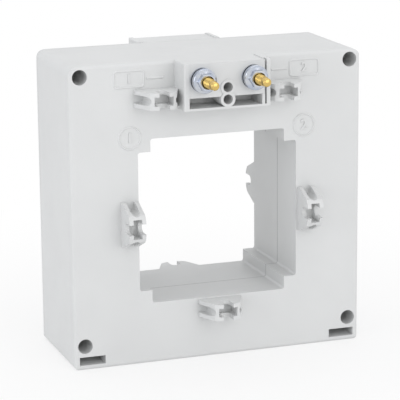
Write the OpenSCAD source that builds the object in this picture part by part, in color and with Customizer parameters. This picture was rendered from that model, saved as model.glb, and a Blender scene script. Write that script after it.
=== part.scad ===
// Window current transformer: a moulded housing in two halves round a wound core,
// with a stepped busbar window, clamp lugs round it and studs on both sides.
// X runs across the front, Z up from the base, and the front faces -Y.

/* [Housing] */
// Width of the housing
body_w = 150; // [135:1:180]
// Height of the housing
body_h = 150; // [135:1:180]
// Depth of the housing between its front and rear faces
body_d = 58; // [52:1:80]
// Wall thickness of the moulded halves
wall = 2.5; // [2:0.1:3]
// Corner radius at the top of the housing, seen from the front
corner_top = 5; // [4:0.5:8]
// Corner radius at the bottom of the housing, seen from the front
corner_bottom = 3; // [2:0.5:5]
// Rounding along the front and rear edges
edge_round = 1.6; // [1:0.1:2]
// Thickness of the rear half's back plate
back_plate = 3; // [2.6:0.1:4]
// Depth of the front half's collar, from the front face to the seam
seam_depth = 25; // [20:1:30]
// Gap between the halves where they meet
seam_gap = 0.15; // [0.05:0.05:0.3]
// Thickness of the rear half's spigots inside the front half
spigot_t = 1.2; // [1:0.1:1.3]
// Length of the spigots
spigot_l = 3; // [2:0.5:5]

/* [Busbar window] */
// Width of the housing beside the window, and above and below it on average
rim = 34; // [33:0.5:40]
// Size of the square step in each corner of the window
window_step = 6.4; // [4:0.2:10]
// How far the window's centre lies below the middle of the housing
window_drop = 3.4; // [2:0.2:3.8]
// Corner radius of the window
window_round = 1.2; // [0.6:0.1:2]

/* [Mounting holes] */
// Diameter of the through holes in the corners
hole_d = 7.4; // [5:0.1:8]
// Distance of a corner hole from the side of the housing
hole_side = 5.7; // [5.5:0.1:7]
// Distance of an upper corner hole from the top
hole_top = 5.3; // [5.2:0.1:7]
// Height of a lower corner hole above the base
hole_bottom = 12; // [11.8:0.1:14]
// Wall round a through hole
hole_wall = 1.6; // [1.4:0.1:2]

/* [Foot pockets] */
// Width of a foot pocket
foot_w = 13.2; // [8:0.2:14]
// Height of a foot pocket
foot_h = 4.2; // [3:0.1:4.4]
// Distance of a foot pocket from the side of the housing
foot_side = 2.7; // [2.6:0.1:4]
// Height of a foot pocket above the base
foot_z = 2.4; // [1.8:0.1:2.6]
// Depth of a foot pocket
foot_depth = 16; // [8:1:20]
// Wall round a foot pocket
foot_wall = 1.4; // [1:0.1:1.5]

/* [Terminal block] */
// Width of a terminal block
block_w = 44; // [39:0.5:50]
// Height of a terminal block, down from the top of the housing
block_h = 22.9; // [22:0.1:26]
// How far a terminal block stands out of the housing
block_out = 14.5; // [13:0.5:18]
// Rounding of the block's outer edges
block_round = 0.8; // [0.4:0.1:1.2]
// How far a block's end walls rise above the housing
end_lip = 0.5; // [0.3:0.1:1]
// Thickness of a block's end walls
end_wall = 2.1; // [1.8:0.1:2.4]
// Width of the cover groove inside the right end wall
cover_groove = 0.9; // [0.6:0.1:1]
// Depth of the cover groove
cover_groove_depth = 3; // [2:0.5:6]
// Thickness of the rib beside the right trough, and of the ledge below them
trough_wall = 1.4; // [1.2:0.1:1.6]
// Height of the troughs under the terminal seat
trough_h = 5; // [4:0.1:5.6]
// Thickness of the seat wall that the studs pass through
seat_wall = 2.8; // [2:0.1:3.5]
// How far the seat lies behind the block's front edge
seat_back = 0.3; // [0.1:0.1:0.8]
// Outer diameter of the two sealing-screw bosses
boss_d = 7.4; // [7:0.1:7.6]
// How far the bosses stand out past the block's front edge
boss_proud = 0.3; // [0.1:0.1:0.6]
// Diameter of the sealing-screw holes
boss_hole_d = 4.8; // [3:0.1:5]
// Distance between the two sealing-screw holes
boss_pitch = 5.9; // [5.6:0.1:6.4]
// Height of the lower boss above the bottom of the block
boss_z = 4.9; // [4.5:0.1:5.3]
// Depth of the sealing-screw holes
boss_hole_depth = 11; // [6:0.5:12]

/* [Studs and nuts] */
// Thread diameter of a terminal stud
stud_d = 5; // [4:0.5:5]
// Distance of a stud from the side of the terminal block
stud_side = 9; // [8.7:0.1:10]
// Depth of the studs' axis below the top of the housing
stud_drop = 7.8; // [7.4:0.1:8]
// How far a stud stands out of the housing
stud_out = 33.3; // [32:0.1:38]
// Depth of the thread, which the plain shank and the reliefs are cut to
thread_depth = 0.4; // [0.3:0.05:0.5]
// Length of the relief in the thread under the face of a flange nut
relief_l = 1; // [0.6:0.1:1.5]
// Length of the unthreaded point at each end of a stud
point_l = 4; // [2:0.5:5]
// Chamfer on a stud's points
point_chamfer = 0.7; // [0.4:0.1:1]
// Radial gap round a stud in its seat, washers and nuts
stud_gap = 0.1; // [0.05:0.01:0.2]
// Diameter of a flat washer
washer_d = 12; // [10:0.5:12]
// Thickness of a flat washer
washer_t = 1.2; // [0.8:0.1:1.6]
// Diameter of a spring washer
spring_d = 9.2; // [8.6:0.1:10]
// Thickness of a spring washer
spring_t = 1.4; // [1:0.1:1.6]
// Width of the split in a spring washer
spring_split = 0.8; // [0.4:0.1:1.2]
// Width across the flats of a hexagon nut
nut_af = 8; // [7:0.5:8]
// Height of a flange nut with its flange
flange_nut_h = 5; // [4:0.5:6]
// Diameter of a flange nut's flange
flange_d = 11.8; // [10:0.1:12]
// Thickness of a flange nut's flange at its edge
flange_t = 1.1; // [0.8:0.1:1.4]
// Height of an inner hexagon nut
nut_h = 4; // [3:0.5:4]

/* [Clamp lugs] */
// Length of a clamp lug
lug_l = 22; // [20:0.5:24]
// Width of a clamp lug
lug_w = 8.3; // [8:0.1:9]
// Height of a clamp lug above the housing
lug_h = 14.4; // [13:0.1:16]
// Height of the short straight foot at each end of a lug
lug_foot = 2.5; // [2:0.1:3.5]
// Length of a lug's top, between the slopes at its ends
lug_top_l = 11.4; // [10:0.2:12]
// Radius of the curve along a lug's top
lug_crest_r = 11; // [11:0.5:20]
// Width of the nut slot along the middle of a lug
lug_slot_w = 4.4; // [4.2:0.1:5]
// Length of the nut slot
lug_slot_l = 9.6; // [9:0.1:10.4]
// Height of the nut slot's floor above the housing
lug_slot_floor = 4.6; // [3:0.1:5]
// Width of the screw notch across a lug
lug_notch_w = 5.2; // [5:0.1:6]
// Height of the screw's axis above the housing
lug_screw_h = 9.3; // [9:0.1:10]
// Web between the nut slot and the hollow at each end of a lug
lug_web = 1.3; // [1:0.1:1.6]
// Gap between the window's edge and the lugs beside and below it
lug_gap = 0.7; // [0.3:0.1:1.5]
// Height of the top lugs above the bottom of the terminal block
lug_rise = 1.7; // [1:0.1:3]

/* [Core and windings] */
// Gap between the windings and the window's collar
core_gap = 1.4; // [1:0.1:2]
// Thickness of the wound core
core_t = 12; // [10:0.5:12]
// Distance of the wound core from the front and rear faces of the housing
core_back = 14; // [13.5:0.5:17]
// Corner radius inside the core
core_round = 3; // [2:0.5:6]
// Wall of the insulating caps round the core
cap_wall = 1; // [0.8:0.1:1.2]
// Gap between the core and its caps
cap_gap = 0.2; // [0.1:0.05:0.3]
// Gap between the edges of the two caps
cap_split = 0.6; // [0.2:0.1:1]
// Thickness of a winding
coil_build = 3; // [2:0.1:3.3]
// How far a winding reaches past the window's edge at each end
coil_past = 1; // [-8:0.5:2]
// Gap between a winding and the caps inside it
coil_gap = 0.1; // [0.05:0.05:0.2]
// Width of the tape band at each end of a winding
tape_w = 9; // [6:0.5:12]
// Thickness of the tape
tape_t = 0.4; // [0.2:0.1:0.5]
// Diameter of the winding wire at the links and leads
wire_d = 1.5; // [1:0.1:1.6]
// Bend radius of the wire
wire_bend = 2.5; // [2:0.1:3]

/* [Core supports] */
// Diameter of a core post
post_d = 6; // [4:0.5:6]
// Thickness of the rubber pad on a post
pad_t = 1.2; // [0.8:0.1:2]

/* [Ring terminals] */
// Thickness of a ring terminal's tongue
ring_t = 1; // [0.8:0.1:1.2]
// Diameter of a ring terminal's ring
ring_d = 9.2; // [8.6:0.1:10]
// Diameter of a ring terminal's barrel
barrel_d = 3.4; // [3:0.1:3.8]
// Length of a ring terminal's barrel
barrel_l = 7; // [6:0.5:8]
// Radial gap between the wire and the barrel
barrel_gap = 0.1; // [0.05:0.05:0.2]

/* [Hidden] */
$fn = 48;

over = 1;
tape_gap = 0.05;
relief_past = 0.2;
front_y = -body_d / 2;
rear_y = body_d / 2;
parting_y = rear_y - back_plate;
seam_y = front_y + seam_depth;
cavity_y = front_y + wall;

window_w = body_w - 2 * rim;
window_h = body_h - 2 * rim;
window_z = body_h / 2 - window_drop;
hole_x = body_w / 2 - hole_side;
hole_tube_d = hole_d + 2 * hole_wall;
foot_x = body_w / 2 - foot_side - foot_w;

block_z = body_h - block_h;
seat_z = block_z + trough_wall + trough_h;
seat_out = block_out - seat_back;
seat_half = block_w / 2 - end_wall - cover_groove;
trough_half = seat_half - trough_wall;
trough_left = seat_half + cover_groove / 2;
boss_depth = boss_hole_depth + trough_wall;
boss_low_z = block_z + boss_z;

side_lug_x = window_w / 2 + lug_gap + lug_w / 2;
low_lug_z = window_z - window_h / 2 - lug_gap - lug_w / 2;
top_lug_x = block_w / 2 - end_wall + 0.8 + lug_l / 2;
top_lug_z = block_z + lug_rise + lug_w / 2;

cap_side = cap_wall + cap_gap;
core_off = wall + core_gap + tape_t + tape_gap + coil_build + coil_gap + cap_side;
core_w = window_w + 2 * core_off;
core_h = window_h + 2 * core_off;
core_d = body_d - 2 * core_back;
cap_face = core_d / 2 + cap_side;
limb_x = core_w / 2 + core_t / 2;
limb_z = core_h / 2 + core_t / 2;
limb_t = core_t + 2 * cap_side;
coil_face = cap_face + coil_gap + coil_build;
coil_end_y = cap_face + coil_gap + coil_build / 2;

stud_x = block_w / 2 - stud_side;
stud_z = body_h - stud_drop;
stud_end = body_d / 2 + stud_out;
stud_bore = stud_d + 2 * stud_gap;
shank_d = stud_d - 2 * thread_depth;
stack_out = seat_out + 2 * washer_t + spring_t;
nut_face = body_d / 2 + stack_out + flange_nut_h;
seat_in = body_d / 2 + seat_out - seat_wall;
thread_in = coil_face + tape_t + 0.2;
low_nut_y = coil_face + tape_t + 0.5;
ring_y = -low_nut_y - nut_h - ring_t;

barrel_y = ring_y + barrel_d / 2;
barrel_top_z = stud_z - ring_d / 2 - 1.5;
barrel_low_z = barrel_top_z - barrel_l;
lead_z = barrel_low_z - wire_bend - 2;
wire_in = wire_d + 1 - cap_side;

plastic = "#d4d5d1";
brass = "#c9a13b";
zinc = "#c3c8d0";
copper = "#a8552b";
steel = "#85898e";
nylon = "#e9e4d4";

// Extrudes an outline drawn in X and Z between two depths
module along_y(y0, y1)
    translate([0, y1, 0]) rotate([90, 0, 0]) linear_extrude(y1 - y0) children();

// Puts what is drawn for the front face there, or turned round on the rear face
module on_face(rear = false)
    rotate([0, 0, rear ? 180 : 0]) translate([0, front_y, 0]) children();

// Outline from z0 up to z1 with its own corner radii below and above
module round_outline(w, z0, z1, r_low, r_top) {
    translate([-w / 2, z0 + r_low]) square([w, z1 - z0 - r_low - r_top]);
    translate([-w / 2 + r_low, z0]) square([w - 2 * r_low, z1 - z0 - r_top]);
    translate([-w / 2 + r_top, z0 + r_low]) square([w - 2 * r_top, z1 - z0 - r_low]);
    for (side = [-1, 1]) {
        translate([side * (w / 2 - r_low), z0 + r_low]) circle(r_low);
        translate([side * (w / 2 - r_top), z1 - r_top]) circle(r_top);
    }
}

// Outline of the housing seen from the front, made smaller all round by inset
module body_outline(inset = 0)
    round_outline(body_w - 2 * inset, inset, body_h - inset,
        max(corner_bottom - inset, 0.5), max(corner_top - inset, 0.5));

// Stepped outline of the window, made larger all round by grow
module window_outline(grow = 0) {
    w = window_w + 2 * grow;
    h = window_h + 2 * grow;
    r = window_round + grow;
    round_outline(w, window_z - h / 2 + window_step, window_z + h / 2 - window_step, r, r);
    round_outline(w - 2 * window_step, window_z - h / 2, window_z + h / 2, r, r);
}

// Stretch of the housing's outer form, rounded along its front and rear edges
module housing_form(y0, y1)
    intersection() {
        along_y(y0, y1) body_outline();
        rotate([90, 0, 90]) translate([0, 0, -body_w / 2]) linear_extrude(body_w)
            round_outline(body_d, 0, body_h, edge_round, edge_round);
        linear_extrude(body_h)
            round_outline(body_w, front_y, rear_y, edge_round, edge_round);
    }

module window_ring(y0, y1, outer, inner)
    along_y(y0, y1) difference() {
        window_outline(outer);
        window_outline(inner);
    }

module at_corner_holes()
    for (side = [-1, 1], z = [hole_bottom, body_h - hole_top])
        translate([side * hole_x, z]) children();

module at_core_corners()
    for (side = [-1, 1], level = [-1, 1])
        translate([side * limb_x, window_z + level * limb_z]) children();

// Side view of a lug: sloped ends under a curved top, on a foot that sinks into the wall
module lug_profile() {
    intersection() {
        translate([0, lug_h - lug_crest_r]) circle(lug_crest_r, $fn = 96);
        polygon([
            [-lug_l / 2, lug_foot], [-lug_top_l / 2, lug_h],
            [lug_top_l / 2, lug_h], [lug_l / 2, lug_foot]
        ]);
    }
    translate([-lug_l / 2, -wall / 2]) square([lug_l, lug_foot + wall / 2]);
}

// One clamp lug: a ramped block with a nut slot, a screw notch and hollow ends
module clamp_lug()
    difference() {
        rotate([90, 0, 0]) translate([0, 0, -lug_w / 2]) linear_extrude(lug_w) lug_profile();
        translate([-lug_slot_l / 2, -lug_slot_w / 2, lug_slot_floor])
            cube([lug_slot_l, lug_slot_w, lug_h]);
        translate([0, 0, lug_screw_h]) rotate([90, 0, 0])
            cylinder(d = lug_notch_w, h = lug_w + 2 * over, center = true);
        translate([-lug_notch_w / 2, -lug_w / 2 - over, lug_screw_h])
            cube([lug_notch_w, lug_w + 2 * over, lug_h]);
        for (end = [0, 180]) rotate([0, 0, end])
            translate([lug_slot_l / 2 + lug_web + lug_slot_w / 2, 0, 0]) {
                cylinder(d = lug_slot_w, h = lug_h + over);
                translate([0, -lug_slot_w / 2, 0]) cube([lug_l / 2, lug_slot_w, lug_h + over]);
            }
    }

module place_lug(x, z, turn)
    translate([x, 0, z]) rotate([90, 0, 0]) rotate([0, 0, turn]) clamp_lug();

// The five clamp lugs round the window, on the front face
module clamp_lugs() {
    for (side = [-1, 1]) {
        place_lug(side * side_lug_x, window_z, 90);
        place_lug(side * top_lug_x, top_lug_z, 0);
    }
    place_lug(0, low_lug_z, 0);
}

// Outer form of the terminal block, on the front face
module block_form()
    intersection() {
        along_y(-block_out, wall / 2)
            round_outline(block_w, block_z, body_h + end_lip, block_round, block_round);
        rotate([90, 0, 90]) translate([0, 0, -block_w / 2]) linear_extrude(block_w)
            round_outline(2 * block_out, block_z, body_h + end_lip, block_round, block_round);
        linear_extrude(body_h + 2 * end_lip)
            round_outline(block_w, -block_out, block_out, block_round, block_round);
    }

// What the terminal block is hollowed by: grooves, troughs, and the space behind the seat
module block_hollows() {
    translate([seat_half, -block_out - over, block_z + trough_wall])
        cube([cover_groove, cover_groove_depth + over, block_h]);
    translate([-trough_left, -block_out - over, body_h])
        cube([trough_left + seat_half, block_out + wall + over, over]);
    translate([-trough_left, -block_out - over, seat_z])
        cube([trough_left + seat_half, seat_back + over, block_h]);
    translate([-trough_left, -block_out - over, block_z + trough_wall])
        cube([trough_left + trough_half, block_out + over, trough_h]);
    translate([-trough_half, -seat_out + seat_wall, seat_z + trough_wall])
        cube([2 * trough_half, seat_out - seat_wall + back_plate + over,
            body_h - wall - seat_z - trough_wall]);
}

module boss_axes()
    for (step = [0, 1])
        translate([0, -block_out - boss_proud, boss_low_z + step * boss_pitch])
            rotate([-90, 0, 0]) children();

// Terminal block with its sealing-screw bosses and stud holes, on the front face
module terminal_block()
    difference() {
        union() {
            difference() {
                block_form();
                block_hollows();
            }
            boss_axes() cylinder(d = boss_d, h = boss_depth);
            intersection() {
                boss_axes() cylinder(d = boss_d, h = block_out + boss_proud + wall / 2);
                translate([-block_w / 2, -block_out, block_z])
                    cube([block_w, block_out + wall / 2, seat_z + trough_wall - block_z]);
            }
        }
        boss_axes() translate([0, 0, -over]) cylinder(d = boss_hole_d, h = boss_hole_depth + over);
        for (side = [-1, 1])
            translate([side * stud_x, -block_out - over, stud_z]) rotate([-90, 0, 0])
                cylinder(d = stud_bore, h = block_out);
    }

// Opening in a face behind the terminal seat, for the inner nuts
module seat_opening(depth)
    translate([-trough_half, -over, seat_z + trough_wall])
        cube([2 * trough_half, depth + over, body_h - wall - seat_z - trough_wall]);

module core_posts(face_depth)
    along_y(face_depth / 2, -front_y - cap_face - pad_t)
        at_core_corners() circle(d = post_d);

module foot_pocket(grow)
    for (side = [0, 1]) mirror([side, 0, 0])
        translate([foot_x - grow, grow > 0 ? wall / 2 : -over, foot_z - grow])
            cube([foot_w + 2 * grow, foot_depth + grow + (grow > 0 ? -wall / 2 : over),
                foot_h + 2 * grow]);

module front_shell()
    color(plastic) difference() {
        union() {
            difference() {
                housing_form(front_y, parting_y - seam_gap);
                along_y(cavity_y, rear_y) body_outline(wall);
                on_face() seat_opening(wall + over);
            }
            along_y(cavity_y - wall / 2, seam_y) window_outline(wall);
            along_y(cavity_y - wall / 2, parting_y - seam_gap) intersection() {
                at_corner_holes() circle(d = hole_tube_d);
                body_outline(wall / 4);
            }
            on_face() {
                core_posts(wall);
                foot_pocket(foot_wall);
                terminal_block();
                clamp_lugs();
            }
        }
        along_y(front_y - over, rear_y) window_outline();
        window_ring(seam_y - spigot_l - seam_gap, seam_y + over, wall + over,
            wall - spigot_t - seam_gap);
        along_y(front_y - over, rear_y) at_corner_holes() circle(d = hole_d);
        on_face() foot_pocket(0);
    }

module rear_shell()
    color(plastic) difference() {
        union() {
            difference() {
                housing_form(parting_y, rear_y);
                on_face(true) seat_opening(back_plate + over);
            }
            along_y(parting_y - spigot_l, parting_y + over) difference() {
                body_outline(wall + seam_gap);
                body_outline(wall + seam_gap + spigot_t);
                at_corner_holes() circle(d = hole_tube_d + 2 * seam_gap);
            }
            along_y(seam_y + seam_gap, parting_y + over) window_outline(wall);
            window_ring(seam_y - spigot_l, seam_y + over, wall, wall - spigot_t);
            on_face(true) {
                core_posts(back_plate);
                terminal_block();
                clamp_lugs();
            }
        }
        along_y(seam_y - spigot_l - over, rear_y + over) window_outline();
        along_y(parting_y - over, rear_y + over) at_corner_holes() circle(d = hole_d);
    }

// Rectangular ring round the window, from so far inside the core's inner edge to so far outside it
module ring_outline(inside, outside, r_in)
    translate([0, window_z]) difference() {
        r_out = r_in + inside + outside;
        round_outline(core_w + 2 * outside, -core_h / 2 - outside, core_h / 2 + outside, r_out, r_out);
        round_outline(core_w - 2 * inside, inside - core_h / 2, core_h / 2 - inside, r_in, r_in);
    }

module core()
    color(steel) along_y(-core_d / 2, core_d / 2) ring_outline(0, core_t, core_round);

module core_cap()
    color(nylon) difference() {
        along_y(-cap_face, -cap_split / 2)
            ring_outline(cap_side, core_t + cap_side, core_round - cap_side);
        along_y(-core_d / 2 - cap_gap, over)
            ring_outline(cap_gap, core_t + cap_gap, core_round - cap_gap);
    }

module core_cap_front() core_cap();

module core_cap_rear() mirror([0, 1, 0]) core_cap();

// Half the core's inner size across a limb, and half the length of that limb's winding;
// turn is 0 for the top limb, then goes round clockwise seen from the front
function core_half(turn) = (turn % 180 == 0 ? core_h : core_w) / 2;
function coil_half(turn) = (turn % 180 == 0 ? window_w : window_h) / 2 + coil_past;

// Turns what is drawn above the window's centre round to a limb
module on_limb(turn) translate([0, 0, window_z]) rotate([0, turn, 0]) children();

module limb_section(build) {
    half = limb_t / 2 + build;
    round_outline(2 * (cap_face + build), -half, half, build, build);
}

// Sleeve round a limb, from x0 to x1 along it and between two depths of build over the caps
module limb_sleeve(turn, x0, x1, build_in, build_out)
    on_limb(turn) translate([x0, 0, core_half(turn) + core_t / 2]) rotate([90, 0, 90])
        linear_extrude(x1 - x0) difference() {
            limb_section(build_out);
            limb_section(build_in);
        }

module coil(turn)
    color(copper)
        limb_sleeve(turn, -coil_half(turn), coil_half(turn), coil_gap, coil_gap + coil_build);

module coil_top() coil(0);

module coil_right() coil(90);

module coil_bottom() coil(180);

module coil_left() coil(270);

// Tape bands round the ends of the four windings
module coil_tapes() {
    build = coil_gap + coil_build + tape_gap;
    color(nylon) for (turn = [0, 90, 180, 270], side = [-1, 1]) {
        middle = side * (coil_half(turn) - tape_w / 2);
        limb_sleeve(turn, middle - tape_w / 2, middle + tape_w / 2, build, build + tape_t);
    }
}

module wire_bend_piece()
    rotate_extrude(angle = 90) translate([wire_bend, 0]) circle(d = wire_d);

// Wire from the end of the winding on one limb round the corner to the next
module corner_link(turn) {
    x = core_half(turn + 90) + wire_in;
    z = core_half(turn) + wire_in;
    run_x = x - wire_bend - coil_half(turn);
    run_z = z - wire_bend - coil_half(turn + 90);
    on_limb(turn) translate([0, -coil_end_y, 0]) {
        translate([coil_half(turn), 0, z]) rotate([0, 90, 0]) cylinder(d = wire_d, h = run_x);
        translate([x, 0, coil_half(turn + 90)]) cylinder(d = wire_d, h = run_z);
        translate([x - wire_bend, 0, z - wire_bend]) rotate([90, 0, 0]) wire_bend_piece();
    }
}

module coil_links()
    color(copper) for (turn = [0, 90, 180]) corner_link(turn);

// One side's run of a stud: the thread with its relief under the nut, and the point
module stud_end_run() {
    translate([0, 0, thread_in])
        cylinder(d = stud_d, h = nut_face - relief_l - thread_in);
    translate([0, 0, nut_face + relief_past])
        cylinder(d = stud_d, h = stud_end - point_l - nut_face - relief_past);
    translate([0, 0, stud_end - point_chamfer])
        cylinder(d1 = shank_d, d2 = shank_d - 2 * point_chamfer, h = point_chamfer);
}

// Threaded rod that passes through the housing and carries one terminal on both sides
module stud(side)
    color(brass) translate([side * stud_x, 0, stud_z]) rotate([90, 0, 0]) {
        cylinder(d = shank_d, h = 2 * (stud_end - point_chamfer), center = true);
        stud_end_run();
        mirror([0, 0, 1]) stud_end_run();
    }

module stud_left() stud(-1);

module stud_right() stud(1);

module lead_drop(side, z)
    translate([side * stud_x, barrel_y, z])
        cylinder(d = wire_d, h = barrel_low_z + barrel_l / 2 - z);

// Stretch of lead that turns inward to the front face of a winding
module lead_tail()
    rotate([0, 0, 90]) {
        translate([wire_bend, 0, 0]) rotate([-90, 0, 0]) mirror([1, 0, 0]) wire_bend_piece();
        translate([wire_bend, 0, -wire_bend]) rotate([0, 90, 0])
            cylinder(d = wire_d, h = -coil_face - barrel_y - wire_bend);
    }

// Lead from the right stud straight down to the top winding
module lead_right()
    color(copper) {
        lead_drop(1, lead_z);
        translate([stud_x, barrel_y, lead_z]) lead_tail();
    }

// Lead from the left stud across the front of the top winding to the left winding
module lead_left() {
    turn_x = -core_w / 2 - wire_in;
    tail_z = window_z + coil_half(270) - tape_w - wire_d - wire_bend;
    color(copper) {
        lead_drop(-1, lead_z + wire_bend);
        translate([-stud_x - wire_bend, barrel_y, lead_z + wire_bend]) rotate([90, 0, 0])
            mirror([0, 1, 0]) wire_bend_piece();
        translate([turn_x + wire_bend, barrel_y, lead_z]) rotate([0, 90, 0])
            cylinder(d = wire_d, h = -stud_x - turn_x - 2 * wire_bend);
        translate([turn_x + wire_bend, barrel_y, lead_z - wire_bend]) rotate([90, 0, 0])
            mirror([1, 0, 0]) wire_bend_piece();
        translate([turn_x, barrel_y, tail_z])
            cylinder(d = wire_d, h = lead_z - wire_bend - tail_z);
        translate([turn_x, barrel_y, tail_z]) lead_tail();
    }
}

// Crimped ring terminals that join the leads to the studs
module ring_terminals()
    color(zinc) for (side = [-1, 1]) translate([side * stud_x, ring_y, 0]) difference() {
        union() {
            translate([0, 0, stud_z]) rotate([-90, 0, 0]) cylinder(d = ring_d, h = ring_t);
            translate([-barrel_d / 3, 0, barrel_top_z - over])
                cube([barrel_d * 2 / 3, ring_t, ring_d / 2 + over]);
            translate([0, barrel_d / 2, barrel_low_z]) cylinder(d = barrel_d, h = barrel_l);
        }
        translate([0, -over, stud_z]) rotate([-90, 0, 0])
            cylinder(d = stud_bore, h = ring_t + 2 * over);
        translate([0, barrel_d / 2, barrel_low_z - over])
            cylinder(d = wire_d + 2 * barrel_gap, h = barrel_l + 2 * over);
    }

// Repeats a part on both studs at a distance out from the middle, on the front or both faces
module on_studs(out, rear = true)
    for (side = [-1, 1], turn = rear ? [0, 180] : [0])
        rotate([0, 0, turn]) translate([side * stud_x, -out, stud_z]) rotate([90, 30, 0])
            children();

module hex_nut(h)
    difference() {
        intersection() {
            cylinder(d = nut_af / cos(30), h = h, $fn = 6);
            cylinder(d1 = nut_af * 0.96 + 2 * h, d2 = nut_af * 0.96, h = h);
        }
        translate([0, 0, -over]) cylinder(d = stud_bore, h = h + 2 * over);
    }

// Nuts inside the housing: one behind each seat, and two that clamp each ring terminal
module inner_nuts()
    color(zinc) {
        on_studs(seat_in - nut_h) hex_nut(nut_h);
        on_studs(low_nut_y, false) hex_nut(nut_h);
        on_studs(-ring_y, false) hex_nut(nut_h);
    }

module washer(d, t)
    difference() {
        cylinder(d = d, h = t);
        translate([0, 0, -over]) cylinder(d = stud_bore, h = t + 2 * over);
    }

module flat_washers()
    color(zinc) for (out = [seat_out, seat_out + washer_t + spring_t])
        on_studs(body_d / 2 + out) washer(washer_d, washer_t);

module spring_washers()
    color(zinc) on_studs(body_d / 2 + seat_out + washer_t) difference() {
        washer(spring_d, spring_t);
        translate([0, -spring_split / 2, -over]) cube([spring_d, spring_split, spring_t + 2 * over]);
    }

module flange_nuts()
    color(zinc) on_studs(body_d / 2 + stack_out) difference() {
        union() {
            hex_nut(flange_nut_h);
            cylinder(d = flange_d, h = flange_t);
            translate([0, 0, flange_t]) cylinder(d1 = flange_d, d2 = nut_af, h = 0.9);
        }
        translate([0, 0, -over]) cylinder(d = stud_bore, h = flange_nut_h + 2 * over);
    }

// Rubber pads between the posts and the core caps
module core_pads()
    color("#33363a") {
        along_y(-cap_face - pad_t, -cap_face) at_core_corners() circle(d = post_d);
        along_y(cap_face, cap_face + pad_t) at_core_corners() circle(d = post_d);
    }

front_shell();
rear_shell();
core();
core_cap_front();
core_cap_rear();
coil_top();
coil_bottom();
coil_left();
coil_right();
coil_tapes();
coil_links();
stud_left();
stud_right();
lead_left();
lead_right();
ring_terminals();
inner_nuts();
flat_washers();
spring_washers();
flange_nuts();
core_pads();
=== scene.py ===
import math

import bmesh
import bpy
from mathutils import Matrix, Vector


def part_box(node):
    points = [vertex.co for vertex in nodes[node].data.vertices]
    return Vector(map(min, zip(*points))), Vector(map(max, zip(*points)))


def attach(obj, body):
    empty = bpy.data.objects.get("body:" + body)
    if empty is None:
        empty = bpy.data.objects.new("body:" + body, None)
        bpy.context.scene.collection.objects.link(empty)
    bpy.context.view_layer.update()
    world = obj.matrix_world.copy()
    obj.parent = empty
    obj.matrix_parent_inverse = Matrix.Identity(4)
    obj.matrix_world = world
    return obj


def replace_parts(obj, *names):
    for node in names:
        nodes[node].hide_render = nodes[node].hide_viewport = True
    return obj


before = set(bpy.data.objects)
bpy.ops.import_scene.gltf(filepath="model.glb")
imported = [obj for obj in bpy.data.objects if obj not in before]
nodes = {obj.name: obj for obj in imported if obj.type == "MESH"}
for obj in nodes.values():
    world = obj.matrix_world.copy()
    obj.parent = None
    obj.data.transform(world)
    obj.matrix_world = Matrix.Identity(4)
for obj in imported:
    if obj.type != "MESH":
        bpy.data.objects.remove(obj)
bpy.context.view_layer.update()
MM = 0.001


# Shader helpers

def new_material(name, color, rough, metal=0.0):
    """A node material; returns it with its tree, its shader and its object coordinates."""
    mat = bpy.data.materials.new(name)
    mat.use_nodes = True
    tree = mat.node_tree
    bsdf = tree.nodes["Principled BSDF"]
    bsdf.inputs["Base Color"].default_value = (*color, 1)
    bsdf.inputs["Roughness"].default_value = rough
    bsdf.inputs["Metallic"].default_value = metal
    coord = tree.nodes.new("ShaderNodeTexCoord")
    return mat, tree, bsdf, coord.outputs["Object"]


def noise(tree, coord, scale, detail=2.0, rough=0.5, stretch=None):
    node = tree.nodes.new("ShaderNodeTexNoise")
    node.inputs["Scale"].default_value = scale
    node.inputs["Detail"].default_value = detail
    node.inputs["Roughness"].default_value = rough
    if stretch:
        mapping = tree.nodes.new("ShaderNodeMapping")
        mapping.inputs["Scale"].default_value = stretch
        tree.links.new(coord, mapping.inputs["Vector"])
        coord = mapping.outputs["Vector"]
    tree.links.new(coord, node.inputs["Vector"])
    return node.outputs["Fac"]


def ramp(tree, value, stops):
    """Maps a value through colour stops [(position, rgb), ...]."""
    node = tree.nodes.new("ShaderNodeValToRGB")
    tree.links.new(value, node.inputs["Fac"])
    elements = node.color_ramp.elements
    while len(elements) < len(stops):
        elements.new(0.5)
    for element, (position, rgb) in zip(elements, stops):
        element.position = position
        element.color = (*rgb, 1)
    return node.outputs["Color"]


def spread(tree, value, low, high):
    """Maps 0..1 to low..high."""
    node = tree.nodes.new("ShaderNodeMapRange")
    node.inputs["To Min"].default_value = low
    node.inputs["To Max"].default_value = high
    tree.links.new(value, node.inputs["Value"])
    return node.outputs["Result"]


def bump(tree, bsdf, height, strength, distance, under=None):
    node = tree.nodes.new("ShaderNodeBump")
    node.inputs["Strength"].default_value = strength
    node.inputs["Distance"].default_value = distance
    tree.links.new(height, node.inputs["Height"])
    if under:
        tree.links.new(under, node.inputs["Normal"])
    tree.links.new(node.outputs["Normal"], bsdf.inputs["Normal"])
    return node.outputs["Normal"]


def shade(rgb, factor):
    return tuple(min(1.0, c * factor) for c in rgb)


def edge_mask(tree, low=0.5, high=0.56):
    """1 on outer edges, 0 elsewhere."""
    geometry = tree.nodes.new("ShaderNodeNewGeometry")
    node = tree.nodes.new("ShaderNodeMapRange")
    node.inputs["From Min"].default_value = low
    node.inputs["From Max"].default_value = high
    tree.links.new(geometry.outputs["Pointiness"], node.inputs["Value"])
    return node.outputs["Result"]


def mix_color(tree, mask, a, b):
    node = tree.nodes.new("ShaderNodeMix")
    node.data_type = "RGBA"
    tree.links.new(mask, node.inputs["Factor"])
    for socket, value in ((node.inputs[6], a), (node.inputs[7], b)):
        if isinstance(value, tuple):
            socket.default_value = (*value, 1)
        else:
            tree.links.new(value, socket)
    return node.outputs[2]


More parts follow.
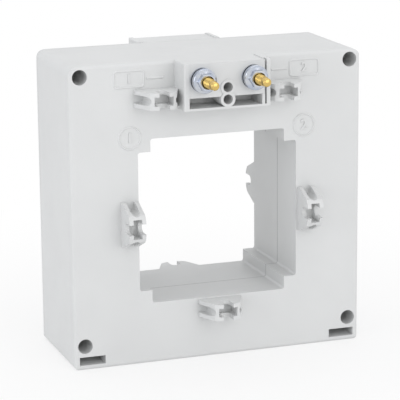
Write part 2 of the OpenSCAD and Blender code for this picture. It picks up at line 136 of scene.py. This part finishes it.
def band(tree, value, middle, half, soft):
    """1 where a value lies within half of middle, fading to 0 over soft."""
    off = tree.nodes.new("ShaderNodeMath")
    off.operation = "SUBTRACT"
    off.inputs[1].default_value = middle
    tree.links.new(value, off.inputs[0])
    size = tree.nodes.new("ShaderNodeMath")
    size.operation = "ABSOLUTE"
    tree.links.new(off.outputs[0], size.inputs[0])
    fade = tree.nodes.new("ShaderNodeMapRange")
    fade.inputs["From Min"].default_value = half
    fade.inputs["From Max"].default_value = half + soft
    fade.inputs["To Min"].default_value = 1
    fade.inputs["To Max"].default_value = 0
    tree.links.new(size.outputs[0], fade.inputs["Value"])
    return fade.outputs["Result"]


def seam_mask(tree, coord, depth, middle, reach):
    """The shadow line of the parting seam, on the window's walls only."""
    axes = tree.nodes.new("ShaderNodeSeparateXYZ")
    tree.links.new(coord, axes.inputs[0])
    mask = band(tree, axes.outputs["Y"], depth, 0.25 * MM, 0.3 * MM)
    for axis, centre_at in (("X", 0.0), ("Z", middle)):
        both = tree.nodes.new("ShaderNodeMath")
        both.operation = "MULTIPLY"
        tree.links.new(mask, both.inputs[0])
        tree.links.new(band(tree, axes.outputs[axis], centre_at, reach, 0.5 * MM), both.inputs[1])
        mask = both.outputs[0]
    return mask


def plastic(name, color, rough, grain=0.06, scale=2600, seam=None):
    """Moulded plastic: faint flow clouding and spark-eroded grain."""
    mat, tree, bsdf, coord = new_material(name, color, rough)
    cloud = noise(tree, coord, 28, 3)
    body = ramp(tree, cloud, [(0.3, shade(color, 0.975)), (0.7, shade(color, 1.02))])
    if seam:
        # Painted shadow line of the parting seam's gap, on the window's walls
        body = mix_color(tree, seam_mask(tree, coord, *seam), body, shade(color, 0.72))
    tree.links.new(body, bsdf.inputs["Base Color"])
    fine = noise(tree, coord, scale, 2)
    tree.links.new(spread(tree, noise(tree, coord, 160, 3), rough - 0.05, rough + 0.06),
                   bsdf.inputs["Roughness"])
    bump(tree, bsdf, fine, grain, 0.0002)
    bsdf.inputs["Specular IOR Level"].default_value = 0.42
    return mat


def plated(name, color, rough, tint):
    """Zinc or tin plate: bright metal with a faint blue or yellow bloom and fine tool marks."""
    mat, tree, bsdf, coord = new_material(name, color, rough, 1.0)
    bloom = noise(tree, coord, 240, 3)
    tree.links.new(ramp(tree, bloom, [(0.35, color), (0.65, tint)]), bsdf.inputs["Base Color"])
    marks = noise(tree, coord, 900, 3, 0.6, (1, 3, 1))
    tree.links.new(spread(tree, marks, rough - 0.07, rough + 0.1), bsdf.inputs["Roughness"])
    bump(tree, bsdf, marks, 0.12, 0.0001)
    return mat


def brass_material():
    color = (0.62, 0.43, 0.13)
    mat, tree, bsdf, coord = new_material("brass", color, 0.22, 1.0)
    bloom = noise(tree, coord, 420, 3)
    tarnish = ramp(tree, bloom, [(0.35, shade(color, 0.84)), (0.7, shade(color, 1.1))])
    # Painted shade: the concave thread roots, picked out by pointiness, darkened to near black
    root = mix_color(tree, edge_mask(tree, 0.42, 0.52), (0.12, 0.065, 0.015), tarnish)
    # Painted highlight: the convex thread crests, picked out by pointiness, lightened to pale brass
    painted_crest_highlight = mix_color(tree, edge_mask(tree, 0.52, 0.6), root, (0.86, 0.66, 0.28))
    tree.links.new(painted_crest_highlight, bsdf.inputs["Base Color"])
    marks = noise(tree, coord, 1500, 2, 0.5, (1, 0.2, 1))
    tree.links.new(spread(tree, marks, 0.17, 0.32), bsdf.inputs["Roughness"])
    bump(tree, bsdf, marks, 0.08, 0.0001)
    return mat


def winding_material():
    """Enamelled wire laid turn beside turn."""
    color = (0.5, 0.17, 0.06)
    mat, tree, bsdf, coord = new_material("winding", color, 0.28)
    wave = tree.nodes.new("ShaderNodeTexWave")
    wave.bands_direction = "DIAGONAL"
    wave.inputs["Scale"].default_value = 180
    wave.inputs["Distortion"].default_value = 0.6
    tree.links.new(coord, wave.inputs["Vector"])
    tree.links.new(ramp(tree, wave.outputs["Fac"], [(0.1, shade(color, 0.5)), (0.6, shade(color, 1.2))]),
                   bsdf.inputs["Base Color"])
    bump(tree, bsdf, wave.outputs["Fac"], 0.7, 0.0005)
    bsdf.inputs["Coat Weight"].default_value = 0.6
    return mat


def core_material():
    """Wound silicon steel strip, seen as fine layers."""
    color = (0.33, 0.35, 0.38)
    mat, tree, bsdf, coord = new_material("wound_core", color, 0.4, 0.9)
    layers = noise(tree, coord, 60, 4, 0.7, (30, 1, 30))
    tree.links.new(ramp(tree, layers, [(0.3, shade(color, 0.6)), (0.7, shade(color, 1.3))]),
                   bsdf.inputs["Base Color"])
    bump(tree, bsdf, layers, 0.3, 0.0003)
    return mat


def tape_material():
    color = (0.78, 0.72, 0.55)
    mat, tree, bsdf, coord = new_material("cloth_tape", color, 0.8)
    weave = tree.nodes.new("ShaderNodeTexBrick")
    weave.inputs["Scale"].default_value = 900
    weave.inputs["Color1"].default_value = (*color, 1)
    weave.inputs["Color2"].default_value = (*shade(color, 0.9), 1)
    weave.inputs["Mortar"].default_value = (*shade(color, 0.6), 1)
    tree.links.new(coord, weave.inputs["Vector"])
    tree.links.new(weave.outputs["Color"], bsdf.inputs["Base Color"])
    bump(tree, bsdf, weave.outputs["Fac"], 0.4, 0.0002)
    return mat


def rubber_material():
    color = (0.035, 0.036, 0.04)
    mat, tree, bsdf, coord = new_material("rubber", color, 0.75)
    fine = noise(tree, coord, 1200, 4)
    tree.links.new(spread(tree, fine, 0.65, 0.85), bsdf.inputs["Roughness"])
    bump(tree, bsdf, fine, 0.3, 0.0002)
    return mat


GREY = (0.665, 0.67, 0.668)
# Depth of the parting seam, height of the window's centre, and how far its walls lie from that
SEAM = (-4 * MM, 71.6 * MM, 41.6 * MM)
housing = plastic("housing_grey", GREY, 0.44, 0.16, 1700, SEAM)
nylon = plastic("nylon", (0.8, 0.76, 0.66), 0.4, 0.04)
zinc = plated("zinc_plate", (0.60, 0.62, 0.65), 0.2, (0.47, 0.51, 0.60))
tin = plated("tin_plate", (0.72, 0.72, 0.70), 0.3, (0.66, 0.66, 0.66))
brass = brass_material()
winding = winding_material()
SKINS = {
    "front_shell": housing, "rear_shell": housing, "core": core_material(),
    "core_cap_front": nylon, "core_cap_rear": nylon, "coil_top": winding,
    "coil_bottom": winding, "coil_left": winding, "coil_right": winding,
    "coil_tapes": tape_material(), "coil_links": winding, "lead_left": winding,
    "lead_right": winding, "stud_left": brass, "stud_right": brass,
    "ring_terminals": tin, "inner_nuts": zinc, "flat_washers": zinc,
    "spring_washers": zinc, "flange_nuts": zinc, "core_pads": rubber_material(),
}
for name, obj in nodes.items():
    for slot in obj.material_slots:
        slot.material = SKINS[name]
    if not obj.material_slots:
        obj.data.materials.append(SKINS[name])


# Pieces

def add_piece(name, bm, mat, smooth=False):
    for edge in bm.edges:
        edge.smooth = edge.calc_face_angle(0) < math.radians(28)
    mesh = bpy.data.meshes.new(name)
    bm.to_mesh(mesh)
    bm.free()
    obj = bpy.data.objects.new(name, mesh)
    bpy.context.scene.collection.objects.link(obj)
    mesh.materials.append(mat)
    for face in mesh.polygons:
        face.use_smooth = smooth
    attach(obj, "root")
    return obj


def lathe(bm, profile, segments, place):
    """Turns (radius, height) points round the Z axis; place is a matrix."""
    rings = []
    for radius, height in profile:
        ring = []
        for i in range(segments):
            a = 2 * math.pi * i / segments
            ring.append(bm.verts.new(place @ Vector((radius * math.cos(a), radius * math.sin(a), height))))
        rings.append(ring)
    for low, high in zip(rings, rings[1:]):
        for i in range(segments):
            j = (i + 1) % segments
            bm.faces.new((low[i], low[j], high[j], high[i]))
    bm.faces.new(list(reversed(rings[0])))
    bm.faces.new(rings[-1])


def thread(bm, radius, root, pitch, z0, z1, place, segments=40, steps=8):
    """Helical thread between two heights, faded out at both ends."""
    count = int(round((z1 - z0) / pitch * steps))
    rings = []
    for k in range(count + 1):
        z = z0 + (z1 - z0) * k / count
        fade = min(1.0, (z - z0) / pitch, (z1 - z) / pitch)
        ring = []
        for i in range(segments):
            turn = i / segments
            phase = (z / pitch - turn) % 1.0
            depth = (1 - abs(2 * phase - 1)) ** 1.2
            r = radius - (radius - root) * (depth * fade + (1 - fade) * 0.5)
            a = 2 * math.pi * turn
            ring.append(bm.verts.new(place @ Vector((r * math.cos(a), r * math.sin(a), z))))
        rings.append(ring)
    for low, high in zip(rings, rings[1:]):
        for i in range(segments):
            j = (i + 1) % segments
            bm.faces.new((low[i], low[j], high[j], high[i]))
    bm.faces.new(list(reversed(rings[0])))
    bm.faces.new(rings[-1])


def threaded_stud(node):
    """The stud with real M5 threads and turned points, in its CAD solid's place."""
    low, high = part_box(node)
    middle = (low + high) / 2
    radius = (high.x - low.x) / 2
    end = (high.y - low.y) / 2
    point = 4 * MM
    chamfer = 0.7 * MM
    root = radius - 0.42 * MM
    neck = radius - 0.4 * MM
    inner = 20 * MM
    pitch = 0.8 * MM
    bm = bmesh.new()
    for turn in (0, math.pi):
        aim = Matrix.Rotation(turn, 4, "Z") @ Matrix.Rotation(math.pi / 2, 4, "X")
        place = Matrix.Translation(middle) @ aim
        lathe(bm, [(root, 0), (root, inner)], 40, place)
        thread(bm, radius, root, pitch, inner, end - point, place)
        lathe(bm, [(neck - 0.05 * MM, end - point - 0.3 * MM), (neck, end - point + 0.2 * MM),
                   (neck, end - chamfer), (neck - 0.25 * MM, end - 0.3 * MM),
                   (neck - chamfer, end)], 40, place)
    obj = add_piece(node + "_threaded", bm, brass, True)
    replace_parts(obj, node)
    return obj


for stud in ("stud_left", "stud_right"):
    threaded_stud(stud)


def hex_radius(turn, flats):
    """Distance from a hexagon's middle to its edge, with corners at multiples of 60 degrees."""
    off = (turn + math.pi / 6) % (math.pi / 3) - math.pi / 6
    return flats / 2 / math.cos(math.pi / 6 - abs(off))


def flange_nut(bm, place, flange, height, flats, bore, segments=96):
    """A hexagon nut on a flange: chamfered corners and a countersunk bore."""
    # Flange profile as (height, radius) in millimetres, drawn for a flange of this radius
    drawn_r = 5.9
    profile = ((1.7, 4.65), (1.4, 5.3), (1.15, 5.75), (0.95, 5.9), (0.12, 5.9), (0, 5.8))
    rings = []

    def ring(z, radius):
        rings.append([bm.verts.new(place @ Vector((
            radius(2 * math.pi * i / segments) * math.cos(2 * math.pi * i / segments),
            radius(2 * math.pi * i / segments) * math.sin(2 * math.pi * i / segments), z)))
            for i in range(segments)])

    sink = 0.65 * MM
    ring(height - sink, lambda t: bore)
    ring(height, lambda t: bore + sink)
    ring(height, lambda t: flats * 0.475)
    for step in range(1, 4):
        drop = step * 0.14 * MM
        ring(height - drop, lambda t, d=drop: min(hex_radius(t, flats), flats * 0.475 + d * 1.75))
    ring(2.0 * MM, lambda t: hex_radius(t, flats))
    for z, reach in profile:
        limit = flange * reach / drawn_r
        ring(z * MM, lambda t, r=limit: max(r, hex_radius(t, flats)) if r < flange * 0.9 else r)
    ring(0, lambda t: bore)
    for a, b in zip(rings, rings[1:] + rings[:1]):
        for i in range(segments):
            j = (i + 1) % segments
            bm.faces.new((a[i], a[j], b[j], b[i]))


NUT_HEIGHT = 5 * MM
nut_low, nut_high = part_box("flange_nuts")
flange_r = (nut_high.z - nut_low.z) / 2
bm = bmesh.new()
for side in (-1, 1):
    for end in (-1, 1):
        seat = Vector((side * (nut_high.x - flange_r), end * (nut_high.y - NUT_HEIGHT), nut_low.z + flange_r))
        aim = Matrix.Rotation(-end * math.pi / 2, 4, "X")
        flange_nut(bm, Matrix.Translation(seat) @ aim, flange_r, NUT_HEIGHT, 8 * MM, 2.6 * MM)
bmesh.ops.recalc_face_normals(bm, faces=bm.faces)
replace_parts(add_piece("flange_nuts_turned", bm, zinc, True), "flange_nuts")


# Raised moulding marks on the front face: frames, lines, rings and plain numerals

FACE_Y = -29 * MM
LIFT = 0.5 * MM
# How far the marks reach into the face, so that no gap shows under them
SINK = 0.02 * MM


def bead(points, width, closed=True):
    """A raised line with sloped sides along points (x, z) on the front face."""
    bm = bmesh.new()
    half = width / 2
    n = len(points)
    rows = []
    for i, p in enumerate(points):
        before = points[(i - 1) % n] if closed or i else p
        after = points[(i + 1) % n] if closed or i < n - 1 else p
        along = (Vector(after) - Vector(before)).normalized()
        side = Vector((-along.y, along.x))
        row = []
        for offset, lift in ((-half, -SINK), (-half * 0.25, LIFT), (half * 0.25, LIFT), (half, -SINK)):
            q = Vector(p) + side * offset
            row.append(bm.verts.new((q.x, FACE_Y - lift, q.y)))
        rows.append(row)
    pairs = list(zip(rows, rows[1:] + rows[:1])) if closed else list(zip(rows, rows[1:]))
    for a, b in pairs:
        for k in range(3):
            bm.faces.new((a[k], a[k + 1], b[k + 1], b[k]))
    if not closed:
        bm.faces.new(rows[0])
        bm.faces.new(list(reversed(rows[-1])))
    bmesh.ops.recalc_face_normals(bm, faces=bm.faces)
    return bm


def rounded_frame(x0, x1, z0, z1, radius, steps=6):
    points = []
    for cx, cz, start in ((x1 - radius, z1 - radius, 0), (x0 + radius, z1 - radius, 90),
                          (x0 + radius, z0 + radius, 180), (x1 - radius, z0 + radius, 270)):
        for k in range(steps + 1):
            a = math.radians(start + 90 * k / steps)
            points.append((cx + radius * math.cos(a), cz + radius * math.sin(a)))
    return points


def circle(cx, cz, radius, steps=48):
    return [(cx + radius * math.cos(2 * math.pi * k / steps), cz + radius * math.sin(2 * math.pi * k / steps))
            for k in range(steps)]


def numeral(text, name, x, z, size):
    curve = bpy.data.curves.new(name, "FONT")
    curve.body = text
    curve.size = size
    curve.align_x = "CENTER"
    curve.align_y = "CENTER"
    curve.extrude = LIFT / 2
    curve.bevel_depth = 0.12 * MM
    curve.materials.append(housing)
    obj = bpy.data.objects.new(name, curve)
    bpy.context.scene.collection.objects.link(obj)
    obj.rotation_euler = (math.pi / 2, 0, 0)
    obj.location = (x, FACE_Y - LIFT / 2 + SINK, z)
    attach(obj, "root")
    return obj


line_z = 142.2 * MM
ring_z = 113.6 * MM
for side, tag in ((-1, "left"), (1, "right")):
    mark_x = side * 45 * MM
    x0, x1 = sorted((side * 37.5 * MM, side * 52.5 * MM))
    frame_points = rounded_frame(x0, x1, 138.4 * MM, 146.3 * MM, 1.5 * MM)
    line_points = [(side * 27.9 * MM, line_z), (side * 36.2 * MM, line_z)]
    ring_points = circle(mark_x, ring_z, 5.4 * MM)
    add_piece(f"mark_frame_{tag}", bead(frame_points, 1.3 * MM), housing, True)
    add_piece(f"mark_line_{tag}", bead(line_points, 1.3 * MM, False), housing)
    add_piece(f"mark_ring_{tag}", bead(ring_points, 1.2 * MM), housing, True)
    digit = "1" if side < 0 else "2"
    numeral(digit, f"numeral_terminal_{tag}", mark_x, 142.3 * MM, 6.5 * MM)
    numeral(digit, f"numeral_ring_{tag}", mark_x, ring_z, 7 * MM)


# Stage: floor that shows white to the camera and keeps the shadow

def seen_directly(tree):
    """1 for camera, glossy and transmission rays, 0 for light that falls on the object."""
    paths = tree.nodes.new("ShaderNodeLightPath")
    value = paths.outputs["Is Camera Ray"]
    for other in ("Is Glossy Ray", "Is Transmission Ray"):
        either = tree.nodes.new("ShaderNodeMath")
        either.operation = "MAXIMUM"
        tree.links.new(value, either.inputs[0])
        tree.links.new(paths.outputs[other], either.inputs[1])
        value = either.outputs[0]
    return value


def floor_material():
    """Pale floor: its own shading near the object, plain white further out."""
    mat = bpy.data.materials.new("floor")
    mat.use_nodes = True
    tree = mat.node_tree
    bsdf = tree.nodes["Principled BSDF"]
    bsdf.inputs["Base Color"].default_value = (0.86, 0.86, 0.86, 1)
    bsdf.inputs["Roughness"].default_value = 0.9
    white = tree.nodes.new("ShaderNodeEmission")
    coord = tree.nodes.new("ShaderNodeTexCoord")
    reach = tree.nodes.new("ShaderNodeVectorMath")
    reach.operation = "LENGTH"
    tree.links.new(coord.outputs["Object"], reach.inputs[0])
    fade = tree.nodes.new("ShaderNodeMapRange")
    fade.interpolation_type = "SMOOTHSTEP"
    fade.inputs["From Min"].default_value = 0.05
    fade.inputs["From Max"].default_value = 0.3
    fade.inputs["To Min"].default_value = 0.72
    tree.links.new(reach.outputs["Value"], fade.inputs["Value"])
    share = tree.nodes.new("ShaderNodeMath")
    share.operation = "MULTIPLY"
    tree.links.new(fade.outputs["Result"], share.inputs[0])
    tree.links.new(seen_directly(tree), share.inputs[1])
    mix = tree.nodes.new("ShaderNodeMixShader")
    tree.links.new(share.outputs[0], mix.inputs["Fac"])
    tree.links.new(bsdf.outputs["BSDF"], mix.inputs[1])
    tree.links.new(white.outputs["Emission"], mix.inputs[2])
    tree.links.new(mix.outputs["Shader"], tree.nodes["Material Output"].inputs["Surface"])
    return mat


bm = bmesh.new()
bmesh.ops.create_grid(bm, x_segments=2, y_segments=2, size=6)
mesh = bpy.data.meshes.new("floor")
bm.to_mesh(mesh)
bm.free()
floor = bpy.data.objects.new("floor", mesh)
bpy.context.scene.collection.objects.link(floor)
floor.data.materials.append(floor_material())

world = bpy.data.worlds.new("studio")
world.use_nodes = True
bpy.context.scene.world = world
tree = world.node_tree
background = tree.nodes["Background"]
background.inputs["Color"].default_value = (0.985, 0.99, 1.0, 1)
fill = tree.nodes.new("ShaderNodeMapRange")
fill.inputs["To Min"].default_value = 0.86
fill.inputs["To Max"].default_value = 1.0
tree.links.new(seen_directly(tree), fill.inputs["Value"])
tree.links.new(fill.outputs["Result"], background.inputs["Strength"])


def area_light(name, place, aim, size, power, color=(1, 1, 1)):
    data = bpy.data.lights.new(name, "AREA")
    data.shape = "RECTANGLE"
    data.size, data.size_y = size
    data.energy = power
    data.color = color
    obj = bpy.data.objects.new(name, data)
    bpy.context.scene.collection.objects.link(obj)
    obj.location = place
    obj.rotation_euler = (Vector(aim) - Vector(place)).to_track_quat("-Z", "Y").to_euler()
    return obj


centre = (0, 0, 0.075)
area_light("key", (0.45, -1.6, 0.55), centre, (1.3, 1.3), 7)
area_light("top", (-0.1, 0.1, 1.7), centre, (1.2, 1.2), 3.2)
area_light("side", (-1.65, -0.5, 0.4), centre, (1.0, 1.0), 5, (0.93, 0.96, 1.0))

# Camera at the photograph's angle

camera = bpy.data.objects.new("camera", bpy.data.cameras.new("camera"))
bpy.context.scene.collection.objects.link(camera)
azimuth, elevation, roll = math.radians(19.45), math.radians(13.48), math.radians(-0.514)
forward = Vector((math.sin(azimuth) * math.cos(elevation), math.cos(azimuth) * math.cos(elevation),
                  -math.sin(elevation)))
right = Vector((math.cos(azimuth), -math.sin(azimuth), 0))
up = right.cross(forward)
tilted_right = right * math.cos(roll) + up * math.sin(roll)
tilted_up = up * math.cos(roll) - right * math.sin(roll)
place = Matrix((tilted_right, tilted_up, -forward)).transposed().to_4x4()
aim_point = Vector((0.0007, 0, 0.0728))
place.translation = aim_point - forward * 1.0356
camera.matrix_world = place
camera.data.sensor_width = 36
camera.data.lens = 185.04
camera.data.clip_start = 0.01
bpy.context.scene.camera = camera

bpy.context.scene.view_settings.view_transform = "Standard"
